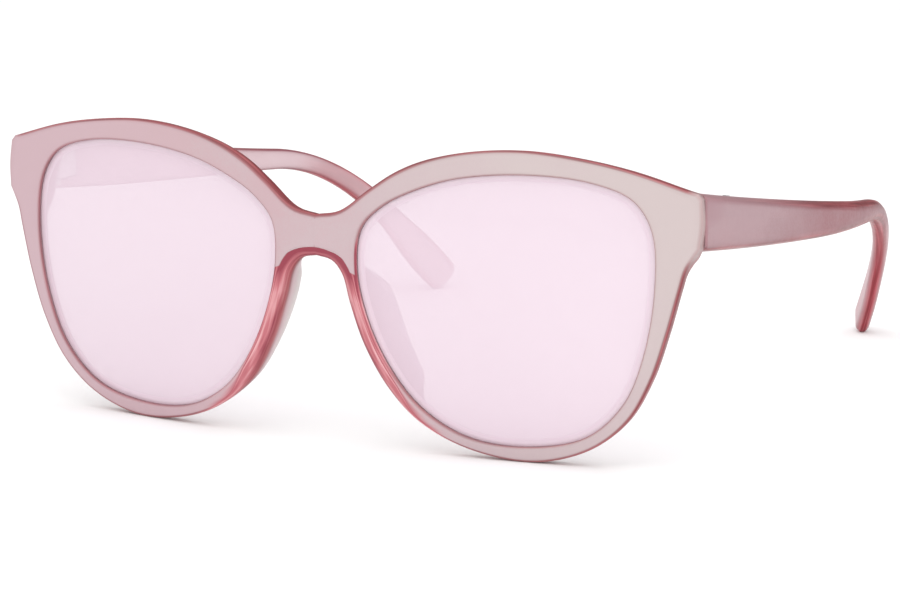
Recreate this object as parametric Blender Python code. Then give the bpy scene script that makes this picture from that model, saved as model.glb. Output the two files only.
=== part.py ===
"""Cat eye sunglasses: moulded front, two lenses, two temples and two screwed barrel hinges.

Lengths in this script are millimetres in the frame of the front (x across, y back towards the
wearer, z up, origin on the face of the bridge). to_world() stands the glasses on the ground and
turns the numbers into metres.
"""
import math

import bmesh
import bpy
from mathutils import Matrix, Vector

MM = 0.001
GAP = 0.3                      # clearance between separate pieces
SIDES = ((1, "left"), (-1, "right"))    # the wearer's sides; the wearer looks towards -y

# how the glasses stand
LEAN = math.radians(2.06)      # the top of the front leans back
MID_DEPTH = 71.82              # half of the overall depth, so that y = 0 is the middle
GROUND = 36.502                # height of the bridge origin above the ground

# curved face of the front
CURVE_ACROSS = 0.003545        # 1/mm, wraps round the head
CURVE_UP = 0.0059              # 1/mm

# rim
RIM_DEPTH = 3.3
END_DEPTH = 6.0                # thicker behind the end pieces, where the hinges sit
EDGE_ROUND = 0.45
BACK_ROUND = 1.5               # the outer wall tapers towards the back
TOP_ROUND = 0.7                # softer edge on the top near the bridge
NOSE_ROUND = 2.4               # wide roll along the nose
LIP = 0.4                      # small round at the lens opening
LIP_MIDDLE = 0.3               # share of the lip at the middle point of its round
MIN_FACE = 0.3                 # the flat face is never narrower than this
GROOVE_FRONT = 0.7
GROOVE_BACK = 2.4
GROOVE_DEEP = 1.2
GROOVE_TAPER = 0.35
BACK_SPANS = (0.2, 0.4, 0.6, 0.8)
FACE_SPANS = (1.0 / 3.0, 2.0 / 3.0)
BACK_CURVE = ((0.5, 0.15), (0.16, 0.6))     # shares of the rounding: inset, depth
FRONT_CURVE = ((0.12, 0.5), (0.42, 0.14))

# zones of the front: where a feature starts to show and where it is whole
END_ACROSS = (57.0, 66.0)
END_ABOVE = (-1.0, 4.0)
END_BELOW = (15.5, 11.5)
NOSE_BESIDE = (24.0, 16.0)
NOSE_BELOW = (0.5, -2.5)
NOSE_ABOVE = (-32.0, -24.0)
TOP_BESIDE = (28.0, 16.0)
TOP_ABOVE = (5.0, 7.0)

# lens opening, closed outline of the +x side
OPENING = [
    (40.0, 16.1), (27.5, 14.6), (19.6, 12.0), (13.2, 8.6), (9.3, 4.4), (8.5, -2.8),
    (10.4, -11.6), (14.6, -20.5), (20.5, -27.7), (29.0, -32.4), (40.0, -33.4), (51.4, -30.8),
    (58.6, -24.2), (62.7, -14.4), (64.6, -1.5), (63.7, 7.7), (60.2, 12.7), (52.5, 15.4),
]
OPENING_MIDDLE = (38.0, -7.0)

# outline of the +x half, from the bridge round the end piece and back under the bridge
TOP_EDGE = [
    (0.0, 6.4), (4.8, 7.4), (10.6, 11.7), (15.6, 15.1), (21.2, 17.6), (30.0, 19.7),
    (40.0, 20.5), (50.0, 19.7), (60.0, 17.9), (71.6, 14.5),
]
SIDE_EDGE = [(72.4, 13.6), (72.7, 9.3), (72.3, 4.8)]
LOWER_EDGE = [
    (71.4, 3.4), (70.2, 1.2), (69.1, -2.8), (66.9, -11.0), (63.9, -19.6), (59.4, -27.3),
    (52.4, -33.0), (42.5, -36.1), (32.0, -35.4), (22.8, -32.1), (15.0, -26.1), (9.8, -17.9),
    (6.7, -9.6), (5.1, -4.3), (3.0, -2.0), (0.0, -1.3),
]
BRIDGE_LINE = [(0.0, 0.9), (0.0, 2.6), (0.0, 4.3)]
TOP_STATIONS = 24
SIDE_STATIONS = 5
LOWER_STATIONS = 48
LENS_STATIONS = 56
LENS_RINGS = (0.4, 0.75, 1.0)
STATION_RELAX = 30             # smoothing passes that spread the stations round the opening

# moulded nose pads, reached by the back of the rim along the nose
PAD_BELOW = (-1.6, -7.1)
PAD_ABOVE = (-28.5, -23.0)
PAD_LIMIT = 26.0               # there is no pad further out than this
PAD_FLARE = 2.3                # the pads lean away from the nose towards the back
PAD_FLARE_POWER = 1.2
PAD_PROFILE = ((0.3, 0.0), (0.65, 0.0), (0.88, 0.12), (0.98, 0.3))   # shares: reach, inset
PAD_REAR = [(-2.0, 8.4), (-6.0, 10.0), (-11.0, 10.7), (-16.0, 10.1), (-21.0, 9.0), (-28.0, 6.6)]

# temples
TEMPLE_START = (70.9, 10.9, 9.3)
TEMPLE_PITCH = -0.132          # rad, slope at the hinge
TEMPLE_EASE = 0.00067          # rad per mm, the shaft levels out a little
SHAFT_LENGTH = 88.7
BEND_RADIUS = 48.0
BEND_ANGLE = 0.837
TIP_LENGTH = 13.5
BOW_FROM = 49.5                # the shaft runs straight back this far, then bows inward
BOW = 0.0025
TEMPLE_THICK = 4.0
TIP_THICK = 3.0
# distance along the temple, height, share of the height that is flat on the outside
TEMPLE_SECTIONS = [
    (0.0, 10.5, 0.74), (30.0, 8.7, 0.66), (60.0, 6.6, 0.50), (88.0, 4.4, 0.16),
    (105.0, 4.1, 0.10), (124.0, 5.2, 0.16), (136.0, 7.8, 0.34), (144.0, 7.4, 0.34),
]
TEMPLE_STEP = 4.0
PATH_FINE = 8                  # path steps between two sections
OUTER_CURVE = ((1.0, 1.0), (0.82, 0.45))    # shares: half thickness, drop of the bevel
CROWN = ((0.38, 0.95), (-0.1, 1.0))         # shares: half thickness, half height
INNER_CROWN = 0.96
INNER_SOFT = (0.25, 0.6)       # how round the inner side is, at the hinge and at the tip
TIP_CAP = ((0.82, 1.1), (0.45, 1.9))        # share of the last section, mm beyond it

# barrel hinges
HINGE_UP = 8.3                 # height of the middle of the hinge
BARREL_OFFSET = 1.9            # from the inner face of the temple to the hinge axis
BARREL_RADIUS = 1.25
SHAFT_RADIUS = 0.5
HEAD_RADIUS = 1.1
HEAD_HEIGHT = 0.6
HEAD_SIDE = 0.6                # share of the head's height below its bevel
HEAD_TOP = 0.7                 # share of the head's radius left on top
SCREW_POINT = 0.1              # bevel of the screw's end
SLOT_WIDTH = 0.35
SLOT_DEPTH = 0.25
SLOT_TURN = math.radians(35.0)
KNUCKLE = 1.3
KNUCKLES = 5
LEAF_THICK = 1.2
LEAF_PROUD = 0.1               # the front leaf stands this much out of its pocket
FRONT_LEAF_WIDTH = 2.7
FRONT_LEAF_SHIFT = -0.7        # along the back face, towards the lens
TEMPLE_LEAF_LENGTH = 9.0
TEMPLE_LEAF_BEHIND = 1.6       # from the hinge axis back to the temple leaf
LEAF_HEIGHT = 7.0
NECK = 1.6
TEMPLE_NECK_LENGTH = 4.6
TEMPLE_NECK_TURN = math.radians(150.0)
BARREL_SIDES = 20
MITRE_BLOCK = (16.0, 12.0, 40.0)
OVERRUN = 1.0                  # how far a drill goes past the ends of the barrel

# end piece, mitre and hinge axis, worked out from the sizes above; the mitre is a vertical
# plane through the hinge axis, so the joint opens like a book
INNER_FACE = TEMPLE_START[0] - 0.5 * TEMPLE_THICK
END_BACK = 0.5 * CURVE_ACROSS * INNER_FACE ** 2 + 0.5 * CURVE_UP * HINGE_UP ** 2 + END_DEPTH
MITRE_ANGLE = math.atan2(END_BACK - TEMPLE_START[1], TEMPLE_THICK)
PIVOT = (INNER_FACE - BARREL_OFFSET, END_BACK + BARREL_OFFSET * math.tan(MITRE_ANGLE), HINGE_UP)


def ramp(value, zone):
    """Smooth rise from 0 to 1 as value goes from the zone's first end to its second."""
    share = (value - zone[0]) / (zone[1] - zone[0])
    share = min(max(share, 0.0), 1.0)
    return share * share * (3.0 - 2.0 * share)


def to_world(x, y, z):
    cos_lean = math.cos(LEAN)
    sin_lean = math.sin(LEAN)
    back = y * cos_lean + z * sin_lean - MID_DEPTH
    up = z * cos_lean - y * sin_lean + GROUND
    return Vector((x, back, up)) * MM


def table_value(table, key):
    """Linear look-up in a table of (key, value) rows sorted by key."""
    rows = sorted(table)
    if key <= rows[0][0]:
        return rows[0][1]
    for low, high in zip(rows, rows[1:]):
        if key <= high[0]:
            share = (key - low[0]) / (high[0] - low[0])
            return low[1] + share * (high[1] - low[1])
    return rows[-1][1]


# ---------------------------------------------------------------- plane curves

def spline(points, closed, per_span=14):
    """Centripetal Catmull-Rom curve through points, as a dense list."""
    pts = [Vector(p) for p in points]
    count = len(pts)
    spans = count if closed else count - 1
    curve = []
    for i in range(spans):
        if closed:
            p0, p1, p2, p3 = (pts[(i + k) % count] for k in (-1, 0, 1, 2))
        else:
            p1, p2 = pts[i], pts[i + 1]
            p0 = pts[i - 1] if i > 0 else p1 + (p1 - p2)
            p3 = pts[i + 2] if i + 2 < count else p2 + (p2 - p1)
        t1 = (p1 - p0).length ** 0.5
        t2 = t1 + (p2 - p1).length ** 0.5
        t3 = t2 + (p3 - p2).length ** 0.5
        for step in range(per_span):
            t = t1 + (t2 - t1) * step / per_span
            a1 = p0.lerp(p1, t / t1)
            a2 = p1.lerp(p2, (t - t1) / (t2 - t1))
            a3 = p2.lerp(p3, (t - t2) / (t3 - t2))
            b1 = a1.lerp(a2, t / t2)
            b2 = a2.lerp(a3, (t - t1) / (t3 - t1))
            curve.append(b1.lerp(b2, (t - t1) / (t2 - t1)))
    curve.append(curve[0].copy() if closed else pts[-1].copy())
    return curve


def evenly(curve, count, closed):
    """count points at equal arc length; an open curve keeps both ends."""
    lengths = [0.0]
    for p, q in zip(curve, curve[1:]):
        lengths.append(lengths[-1] + (q - p).length)
    steps = count if closed else count - 1
    result = []
    k = 0
    for i in range(count):
        goal = lengths[-1] * i / steps
        while k < len(lengths) - 2 and lengths[k + 1] < goal:
            k += 1
        span = max(lengths[k + 1] - lengths[k], 1e-9)
        result.append(curve[k].lerp(curve[k + 1], (goal - lengths[k]) / span))
    return result


def opening_point(angle, dense):
    """Where a ray from the middle of the opening meets its outline."""
    middle = Vector(OPENING_MIDDLE)
    ray = Vector((math.cos(angle), math.sin(angle)))
    side = Vector((-ray.y, ray.x))
    for p, q in zip(dense, dense[1:]):
        a = (p - middle).dot(side)
        b = (q - middle).dot(side)
        if a * b <= 0.0 and a != b:
            hit = p.lerp(q, a / (a - b))
            if (hit - middle).dot(ray) > 0.0:
                return hit
    raise ValueError("the opening has no point at this angle")


def outward(prev_point, next_point, middle, point):
    """Unit normal of a curve, turned away from middle."""
    along = next_point - prev_point
    normal = Vector((along.y, -along.x)).normalized()
    if normal.dot(point - middle) < 0.0:
        normal.negate()
    return normal


# ---------------------------------------------------------------- meshes and objects

def face_depth(u, v):
    """How far the face of the front has curved back at (u, v)."""
    return 0.5 * CURVE_ACROSS * u * u + 0.5 * CURVE_UP * v * v


def on_front(point, depth):
    """A point of the front from its outline position and its depth behind the face."""
    return to_world(point.x, face_depth(point.x, point.y) + depth, point.y)


def material(name, colour, roughness, metallic=0.0, alpha=1.0):
    mat = bpy.data.materials.new(name)
    mat.use_nodes = True
    shader = mat.node_tree.nodes["Principled BSDF"]
    shader.inputs["Base Color"].default_value = (*colour, 1.0)
    shader.inputs["Roughness"].default_value = roughness
    shader.inputs["Metallic"].default_value = metallic
    shader.inputs["Alpha"].default_value = alpha
    return mat


def new_object(name, bm, mat):
    bmesh.ops.recalc_face_normals(bm, faces=bm.faces)
    mesh = bpy.data.meshes.new(name)
    bm.to_mesh(mesh)
    bm.free()
    obj = bpy.data.objects.new(name, mesh)
    bpy.context.scene.collection.objects.link(obj)
    if mat is not None:
        mesh.materials.append(mat)
    return obj


def move_origin(obj, place):
    """Put the object's origin at place without moving its mesh."""
    obj.data.transform(Matrix.Translation(-place))
    obj.location = place


def as_cutter(obj):
    obj.hide_render = True
    obj.display_type = "WIRE"
    return obj


def boolean(obj, other, operation):
    mod = obj.modifiers.new(operation.lower() + "_" + other.name, "BOOLEAN")
    mod.operation = operation
    mod.object = other
    mod.solver = "EXACT"


def box_mesh(size, place, turn=0.0):
    """Box of size (mm) centred on a world place (metres), turned about the vertical."""
    bm = bmesh.new()
    bmesh.ops.create_cube(bm, size=1.0)
    scale = Matrix.Diagonal((size[0] * MM, size[1] * MM, size[2] * MM, 1.0))
    matrix = Matrix.Translation(place) @ Matrix.Rotation(turn, 4, "Z") @ scale
    bmesh.ops.transform(bm, matrix=matrix, verts=bm.verts)
    return bm


def cylinder_mesh(radius, low, high, place):
    """Upright cylinder about a world place, between two heights (mm) from it."""
    bm = bmesh.new()
    bmesh.ops.create_cone(bm, cap_ends=True, segments=BARREL_SIDES, radius1=radius * MM,
                          radius2=radius * MM, depth=(high - low) * MM)
    up = Vector((0.0, 0.0, 0.5 * (low + high) * MM))
    bmesh.ops.translate(bm, verts=bm.verts, vec=place + up)
    return bm


# ---------------------------------------------------------------- front

def half_outline():
    """Stations round the +x half; True marks those on the joining line of the two halves."""
    top = evenly(spline(TOP_EDGE, False), TOP_STATIONS, False)
    side = evenly(spline(SIDE_EDGE, False), SIDE_STATIONS, False)
    lower = evenly(spline(LOWER_EDGE, False), LOWER_STATIONS, False)
    points = top + side + lower
    joined = [False] * len(points)
    for place in BRIDGE_LINE:
        points.append(Vector(place))
        joined.append(True)
    return points, joined


def outline_normals(points, joined):
    """Inward unit normals of the outline, as the whole mirrored front has them."""
    last = joined.index(True) - 1
    normals = []
    for i, point in enumerate(points):
        if joined[i]:
            normals.append(Vector((0.0, 0.0)))
            continue
        before = points[i - 1] if i > 0 else Vector((-points[1].x, points[1].y))
        after = points[i + 1] if i < last else Vector((-points[i - 1].x, points[i - 1].y))
        along = after - before
        normals.append(Vector((along.y, -along.x)).normalized())
    return normals


def matching_opening(points):
    """For each outline station a point and an outward normal on the lens opening."""
    middle = Vector(OPENING_MIDDLE)
    angles = []
    for point in points:
        angle = math.atan2(point.y - middle.y, point.x - middle.x)
        while angles and angle > angles[-1] + math.pi:
            angle -= 2.0 * math.pi
        while angles and angle < angles[-1] - math.pi:
            angle += 2.0 * math.pi
        angles.append(angle)
    count = len(angles)
    for _ in range(STATION_RELAX):
        before = [angles[i - 1] if i else angles[-1] + 2.0 * math.pi for i in range(count)]
        after = [angles[i + 1] if i < count - 1 else angles[0] - 2.0 * math.pi
                 for i in range(count)]
        angles = [0.25 * a + 0.5 * b + 0.25 * c for a, b, c in zip(before, angles, after)]
    dense = spline(OPENING, True)
    places = [opening_point(angle, dense) for angle in angles]
    normals = []
    for i, place in enumerate(places):
        normals.append(outward(places[i - 1], places[(i + 1) % count], middle, place))
    return places, normals


def rim_depth(point):
    """Thickness of the front: thicker behind the end pieces."""
    share = ramp(abs(point.x), END_ACROSS) * ramp(point.y, END_ABOVE) * ramp(point.y, END_BELOW)
    return RIM_DEPTH + (END_DEPTH - RIM_DEPTH) * share


def nose_share(point):
    """1 along the nose, 0 elsewhere."""
    return ramp(point.x, NOSE_BESIDE) * ramp(point.y, NOSE_BELOW) * ramp(point.y, NOSE_ABOVE)


def front_round(point):
    """Inset of the rounded front edge at an outline point."""
    top_share = ramp(point.x, TOP_BESIDE) * ramp(point.y, TOP_ABOVE)
    size = EDGE_ROUND + (TOP_ROUND - EDGE_ROUND) * top_share
    return size + (NOSE_ROUND - EDGE_ROUND) * nose_share(point)


def pad_share(point):
    """How much of a nose pad stands out behind a point of the opening."""
    if point.x > PAD_LIMIT:
        return 0.0
    return ramp(point.y, PAD_BELOW) * ramp(point.y, PAD_ABOVE)


def opening_wall(inner, normal):
    """Section points from the face into the lens groove and out of it again."""
    groove = inner + normal * GROOVE_DEEP
    return [
        (inner + normal * LIP, 0.0), (inner + normal * (LIP_MIDDLE * LIP), LIP_MIDDLE * LIP),
        (inner, LIP), (inner, GROOVE_FRONT), (groove, GROOVE_FRONT + GROOVE_TAPER),
        (groove, GROOVE_BACK - GROOVE_TAPER), (inner, GROOVE_BACK),
    ]


def plain_back(inner, inner_normal, outer, outer_normal, size):
    """Section points over the back of the rim, rounded by size at the outline."""
    lip = inner + inner_normal * LIP
    depth = rim_depth(inner)
    points = [
        (inner, depth - LIP), (inner + inner_normal * (LIP_MIDDLE * LIP), depth - LIP_MIDDLE * LIP),
        (lip, depth),
    ]
    edge = outer + outer_normal * size
    for span in BACK_SPANS:
        place = lip.lerp(edge, span)
        points.append((place, rim_depth(place)))
    depth = rim_depth(outer)
    points.append((edge, depth))
    for inset, drop in BACK_CURVE:
        points.append((outer + outer_normal * (inset * size), depth - drop * BACK_ROUND))
    return points


def pad_back(inner, outer):
    """Section points over a whole nose pad, as many as plain_back has."""
    across = outer - inner
    aside = across.normalized()
    reach = table_value(PAD_REAR, inner.y) - RIM_DEPTH
    near = []
    far = []
    for along, inset in PAD_PROFILE:
        lean = aside * (PAD_FLARE * along ** PAD_FLARE_POWER)
        depth = RIM_DEPTH + along * reach
        near.append((inner + across * inset - lean, depth))
        far.append((outer - across * inset - lean, depth))
    root = RIM_DEPTH - BACK_CURVE[-1][1] * BACK_ROUND
    return [(inner, RIM_DEPTH - LIP)] + near + far[::-1] + [(outer, root)]


def front_side(inner, inner_normal, outer, outer_normal, size):
    """Section points from the outer wall over the front edge and across the face."""
    lip = inner + inner_normal * LIP
    deep = 0.5 * (EDGE_ROUND + max(size, EDGE_ROUND))
    points = [(outer, deep)]
    for inset, drop in FRONT_CURVE:
        points.append((outer + outer_normal * (inset * size), drop * deep))
    edge = outer + outer_normal * size
    points.append((edge, 0.0))
    for span in FACE_SPANS:
        points.append((edge.lerp(lip, span), 0.0))
    return points


def rim_section(inner, inner_normal, outer, outer_normal, joined):
    """Closed cross-section of the rim at one station, as (plane point, depth) pairs."""
    widest = (outer - inner).length - LIP - MIN_FACE
    front_size = 0.0 if joined else min(front_round(outer), widest)
    back_size = 0.0 if joined else BACK_ROUND
    back = plain_back(inner, inner_normal, outer, outer_normal, back_size)
    share = pad_share(inner)
    if share > 0.0:
        back = [(a.lerp(b, share), da + (db - da) * share)
                for (a, da), (b, db) in zip(back, pad_back(inner, outer))]
    front = front_side(inner, inner_normal, outer, outer_normal, front_size)
    return opening_wall(inner, inner_normal) + back + front


def front_mesh():
    """Both halves of the front as one skin, joined on the line x = 0."""
    outline, joined = half_outline()
    inward = outline_normals(outline, joined)
    inner, inner_normals = matching_opening(outline)
    bm = bmesh.new()
    rings = []
    for i, outer in enumerate(outline):
        section = rim_section(inner[i], inner_normals[i], outer, inward[i], joined[i])
        ring = []
        for place, depth in section:
            right = bm.verts.new(on_front(place, depth))
            left = right
            if place.x > 1e-6:
                left = bm.verts.new(on_front(Vector((-place.x, place.y)), depth))
            ring.append((right, left))
        rings.append(ring)
    for i, ring in enumerate(rings):
        following = rings[(i + 1) % len(rings)]
        for k in range(len(ring)):
            m = (k + 1) % len(ring)
            corners = (ring[k], ring[m], following[m], following[k])
            if all(right is left for right, left in corners):
                continue
            bm.faces.new([right for right, _ in corners])
            bm.faces.new([left for _, left in reversed(corners)])
    loose = [vert for vert in bm.verts if not vert.link_faces]
    bmesh.ops.delete(bm, geom=loose, context="VERTS")
    return bm


def mirrored(x, side):
    return x if side > 0 else -x


def pivot_place(side):
    return to_world(mirrored(PIVOT[0], side), PIVOT[1], PIVOT[2])


def mitre_cutter(name, side):
    """Block whose flat front is the mitre plane, half a gap behind the hinge axis plane."""
    turn = mirrored(-MITRE_ANGLE, side)
    normal = Vector((mirrored(math.sin(MITRE_ANGLE), side), math.cos(MITRE_ANGLE), 0.0))
    along = Vector((mirrored(math.cos(MITRE_ANGLE), side), -math.sin(MITRE_ANGLE), 0.0))
    centre = pivot_place(side) + normal * (0.5 * (MITRE_BLOCK[1] - GAP) * MM)
    centre = centre + along * (0.5 * MITRE_BLOCK[0] * MM)
    return as_cutter(new_object(name, box_mesh(MITRE_BLOCK, centre, turn), None))


def back_face_slope():
    """Turn of the back face of the end piece at the hinge axis."""
    return math.atan(CURVE_ACROSS * PIVOT[0])


def barrel_to_front_leaf():
    """Distance from the hinge axis to the middle of the front leaf's plate."""
    back = END_BACK - CURVE_ACROSS * PIVOT[0] * BARREL_OFFSET
    return (PIVOT[1] - back) * math.cos(back_face_slope()) + 0.5 * LEAF_THICK - LEAF_PROUD


def front_leaf_box(side, extra):
    """The plate of the front hinge leaf, grown by extra on every side."""
    turn = back_face_slope()
    reach = barrel_to_front_leaf()
    across = reach * math.sin(turn) + FRONT_LEAF_SHIFT * math.cos(turn)
    ahead = reach * math.cos(turn) - FRONT_LEAF_SHIFT * math.sin(turn)
    shift = Vector((mirrored(across, side), -ahead, 0.0))
    size = (FRONT_LEAF_WIDTH + 2 * extra, LEAF_THICK + 2 * extra, LEAF_HEIGHT + 2 * extra)
    return box_mesh(size, pivot_place(side) + shift * MM, mirrored(turn, side))


def temple_leaf_box(side, extra):
    """The plate of the temple hinge leaf, flush with the inner face of the temple."""
    pivot = pivot_place(side)
    shift = Vector((mirrored(BARREL_OFFSET + 0.5 * LEAF_THICK, side),
                    TEMPLE_LEAF_BEHIND + 0.5 * TEMPLE_LEAF_LENGTH, 0.0))
    size = (LEAF_THICK + 2 * extra, TEMPLE_LEAF_LENGTH + 2 * extra, LEAF_HEIGHT + 2 * extra)
    return box_mesh(size, pivot + shift * MM)


def build_front(mat):
    front = new_object("frame_front", front_mesh(), mat)
    for side, label in SIDES:
        boolean(front, mitre_cutter("mitre_" + label, side), "DIFFERENCE")
        pocket = as_cutter(new_object("front_pocket_" + label, front_leaf_box(side, GAP), None))
        boolean(front, pocket, "DIFFERENCE")


# ---------------------------------------------------------------- lenses

def build_lens(name, side, mat):
    """Curved lens whose bevelled edge sits in the groove of the rim."""
    middle = Vector(OPENING_MIDDLE)
    places = evenly(spline(OPENING, True), LENS_STATIONS, True)
    count = len(places)
    normals = [outward(places[i - 1], places[(i + 1) % count], middle, places[i])
               for i in range(count)]
    near = GROOVE_FRONT + GAP
    far = GROOVE_BACK - GAP
    rows = []
    for share in LENS_RINGS:
        rows.append([(middle.lerp(place, share), near) for place in places])
    reach = GROOVE_DEEP - GAP
    tip = [place + normal * reach for place, normal in zip(places, normals)]
    rows.append([(place, near + GROOVE_TAPER) for place in tip])
    rows.append([(place, far - GROOVE_TAPER) for place in tip])
    for share in reversed(LENS_RINGS):
        rows.append([(middle.lerp(place, share), far) for place in places])

    def vertex(bm, place, depth):
        return bm.verts.new(on_front(Vector((mirrored(place.x, side), place.y)), depth))

    bm = bmesh.new()
    skin = [[vertex(bm, place, depth) for place, depth in row] for row in rows]
    for row, following in zip(skin, skin[1:]):
        for i in range(count):
            m = (i + 1) % count
            bm.faces.new((row[i], row[m], following[m], following[i]))
    for row, depth in ((skin[0], near), (skin[-1], far)):
        hub = vertex(bm, middle, depth)
        for i in range(count):
            bm.faces.new((row[i], row[(i + 1) % count], hub))
    new_object(name, bm, mat)


# ---------------------------------------------------------------- temples

def temple_path():
    """Stations along the temple: (distance, x, y, z, pitch, yaw)."""
    total = SHAFT_LENGTH + BEND_RADIUS * BEND_ANGLE + TIP_LENGTH
    count = int(round(total / TEMPLE_STEP))
    step = total / (count * PATH_FINE)
    x, y, z = TEMPLE_START
    stations = []
    for i in range(count * PATH_FINE + 1):
        s = i * step
        pitch = TEMPLE_PITCH + TEMPLE_EASE * min(s, SHAFT_LENGTH)
        into_bend = min(max(s - SHAFT_LENGTH, 0.0), BEND_RADIUS * BEND_ANGLE)
        pitch -= into_bend / BEND_RADIUS
        bowed = max(s - BOW_FROM, 0.0)
        yaw = math.atan(2.0 * BOW * bowed)
        if i % PATH_FINE == 0:
            stations.append((s, x - BOW * bowed * bowed, y, z, pitch, yaw))
        y += step * math.cos(pitch)
        z += step * math.sin(pitch)
    return stations


def temple_section(s, total):
    """Cross-section of the temple as (out, up) pairs; out is away from the head."""
    height = table_value([(row[0], row[1]) for row in TEMPLE_SECTIONS], s)
    flat = table_value([(row[0], row[2]) for row in TEMPLE_SECTIONS], s)
    thin = ramp(s, (BOW_FROM, total))
    t = 0.5 * (TEMPLE_THICK + (TIP_THICK - TEMPLE_THICK) * thin)
    h = 0.5 * height
    soft = INNER_SOFT[0] + (INNER_SOFT[1] - INNER_SOFT[0]) * thin
    upper = [(out * t, h - drop * h * (1.0 - flat)) for out, drop in OUTER_CURVE]
    upper += [(out * t, up * h) for out, up in CROWN]
    upper += [(soft * t - t, INNER_CROWN * h), (-t, h - 0.45 * soft * h - GAP)]
    lower = [(out, -up) for out, up in reversed(upper)]
    return upper + lower


def build_temple(name, side, mat):
    stations = temple_path()
    total = stations[-1][0]
    pivot = pivot_place(side)
    bm = bmesh.new()
    rings = []
    for s, x, y, z, pitch, yaw in stations:
        along = Vector((-math.sin(yaw), math.cos(yaw) * math.cos(pitch), math.sin(pitch)))
        out = Vector((math.cos(yaw), math.sin(yaw), 0.0))
        up = out.cross(along).normalized()
        ring = []
        for side_way, rise in temple_section(s, total):
            place = Vector((x, y, z)) + out * side_way + up * rise
            ring.append(to_world(mirrored(place.x, side), place.y, place.z))
        rings.append(ring)
    del rings[1]
    for i, corner in enumerate(rings[0]):
        beyond = abs(corner.x) - PIVOT[0] * MM
        mitre_y = pivot.y - beyond * math.tan(MITRE_ANGLE) + 0.5 * GAP * MM
        run = (mitre_y - corner.y) / (rings[1][i].y - corner.y)
        rings[0][i] = corner.lerp(rings[1][i], run)
    last = rings[-1]
    middle = sum(last, Vector()) / len(last)
    ahead = (middle - sum(rings[-2], Vector()) / len(last)).normalized()
    for share, forward in TIP_CAP:
        rings.append([middle.lerp(p, share) + ahead * (forward * MM) for p in last])
    skin = [[bm.verts.new(p) for p in ring] for ring in rings]
    count = len(last)
    for ring, following in zip(skin, skin[1:]):
        for k in range(count):
            m = (k + 1) % count
            bm.faces.new((ring[k], ring[m], following[m], following[k]))
    bm.faces.new(skin[0])
    bm.faces.new(skin[-1])
    temple = new_object(name, bm, mat)
    pocket = as_cutter(new_object(name + "_pocket", temple_leaf_box(side, GAP), None))
    move_origin(temple, pivot)
    boolean(temple, pocket, "DIFFERENCE")


# ---------------------------------------------------------------- hinges

def barrel_height():
    return KNUCKLES * KNUCKLE + (KNUCKLES - 1) * GAP


def knuckle_gaps(own):
    """Height ranges that a leaf leaves free for the knuckles of the other leaf."""
    base = -0.5 * barrel_height()
    pitch = KNUCKLE + GAP
    free = []
    for k in range(KNUCKLES):
        if k % 2 != own:
            free.append((base + k * pitch - GAP, base + k * pitch + KNUCKLE + GAP))
    return free


def neck_box(side, turn, length):
    """Web from the barrel towards the plate; turn is measured from straight ahead."""
    direction = Vector((mirrored(math.sin(turn), side), -math.cos(turn), 0.0))
    centre = pivot_place(side) + direction * (0.5 * length * MM)
    size = (NECK, length, LEAF_HEIGHT)
    return box_mesh(size, centre, mirrored(turn, side))


def build_leaf(name, side, own, plate, neck, mat):
    """Plate, web and knuckles of one hinge leaf; own is 0 for the outer set of knuckles."""
    pivot = pivot_place(side)
    half = 0.5 * barrel_height()
    leaf = new_object(name, cylinder_mesh(BARREL_RADIUS, -half, half, pivot), mat)
    web = as_cutter(new_object(name + "_web", neck, None))
    boolean(leaf, web, "UNION")
    reach = 2.0 * BARREL_RADIUS + 2.0 * GAP
    for k, (low, high) in enumerate(knuckle_gaps(own)):
        centre = pivot + Vector((0.0, 0.0, 0.5 * (low + high) * MM))
        block = box_mesh((reach, reach, high - low), centre)
        boolean(leaf, as_cutter(new_object(f"{name}_slot_{k}", block, None)), "DIFFERENCE")
    plate_block = as_cutter(new_object(name + "_plate", plate, None))
    boolean(leaf, plate_block, "UNION")
    hole = cylinder_mesh(SHAFT_RADIUS + GAP, -half - OVERRUN, half + OVERRUN, pivot)
    boolean(leaf, as_cutter(new_object(name + "_hole", hole, None)), "DIFFERENCE")
    move_origin(leaf, pivot)


def build_screw(name, side, mat):
    """Slotted hinge screw; its head rests on the top knuckle."""
    pivot = pivot_place(side)
    half = 0.5 * barrel_height()
    top = half + GAP
    profile = [
        (0.0, -half), (SHAFT_RADIUS - SCREW_POINT, -half), (SHAFT_RADIUS, SCREW_POINT - half),
        (SHAFT_RADIUS, top), (HEAD_RADIUS, top), (HEAD_RADIUS, top + HEAD_SIDE * HEAD_HEIGHT),
        (HEAD_TOP * HEAD_RADIUS, top + HEAD_HEIGHT), (0.0, top + HEAD_HEIGHT),
    ]
    bm = bmesh.new()
    verts = [bm.verts.new(Vector((r * MM, 0.0, z * MM))) for r, z in profile]
    edges = [bm.edges.new(pair) for pair in zip(verts, verts[1:])]
    bmesh.ops.spin(bm, geom=verts + edges, axis=(0, 0, 1), cent=(0, 0, 0),
                   steps=BARREL_SIDES, angle=2.0 * math.pi)
    bmesh.ops.remove_doubles(bm, verts=bm.verts, dist=1e-6)
    bmesh.ops.translate(bm, verts=bm.verts, vec=pivot)
    screw = new_object(name, bm, mat)
    slot_place = pivot + Vector((0.0, 0.0, (top + HEAD_HEIGHT) * MM))
    slot = box_mesh((3.0 * HEAD_RADIUS, SLOT_WIDTH, 2.0 * SLOT_DEPTH), slot_place, SLOT_TURN)
    move_origin(screw, pivot)
    boolean(screw, as_cutter(new_object(name + "_slot", slot, None)), "DIFFERENCE")


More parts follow.
